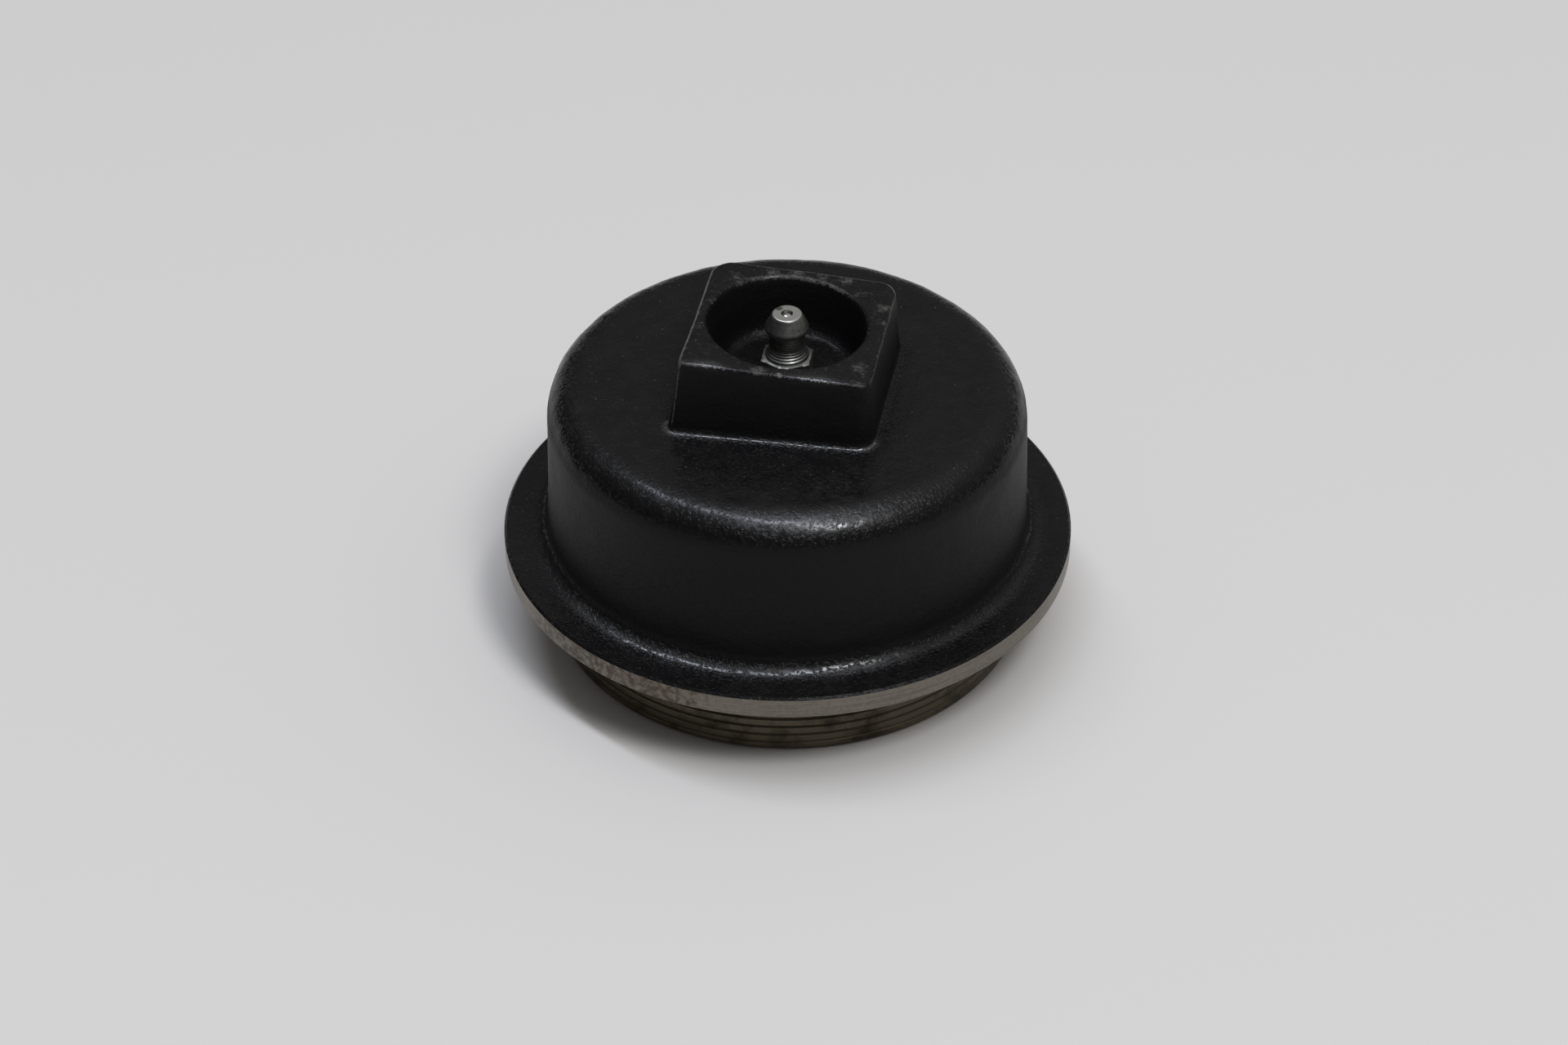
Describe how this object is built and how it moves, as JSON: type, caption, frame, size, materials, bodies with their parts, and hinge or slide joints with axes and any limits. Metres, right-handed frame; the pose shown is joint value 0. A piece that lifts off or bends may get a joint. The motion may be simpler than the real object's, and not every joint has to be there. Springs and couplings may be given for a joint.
{
  "type": "hub grease cap",
  "caption": "Domed cast hub cap with a turned flange, a fine-threaded spigot and a square spanner boss whose round cup holds a sprung grease nipple.",
  "frame": {"origin": "centre of the spigot's end face, which the cap stands on", "axes": "+Z along the cap's axis, out of the hub, X and Y square to the flats of the boss"},
  "size_m": [0.087, 0.087, 0.0547],
  "materials": {
    "enamelled_iron": "semi-gloss black enamel over as-cast iron, bare turned rim, seat and thread",
    "zinc_plated_steel": "dull zinc plate with turning marks",
    "bearing_steel": "polished",
    "spring_steel": "drawn wire"
  },
  "bodies": {
    "cap": {"cap_body": "enamelled_iron", "nipple_body": "zinc_plated_steel", "check_spring": "spring_steel"},
    "ball": {"check_ball": "bearing_steel"}
  },
  "joints": [
    {"name": "ball_travel", "type": "slide", "parent": "cap", "child": "ball", "axis": [0, 0, -1], "range_m": [0, 0.001], "stiffness_N_per_m": 300, "springref_m": -0.002, "deforming": ["check_spring"]}
  ]
}
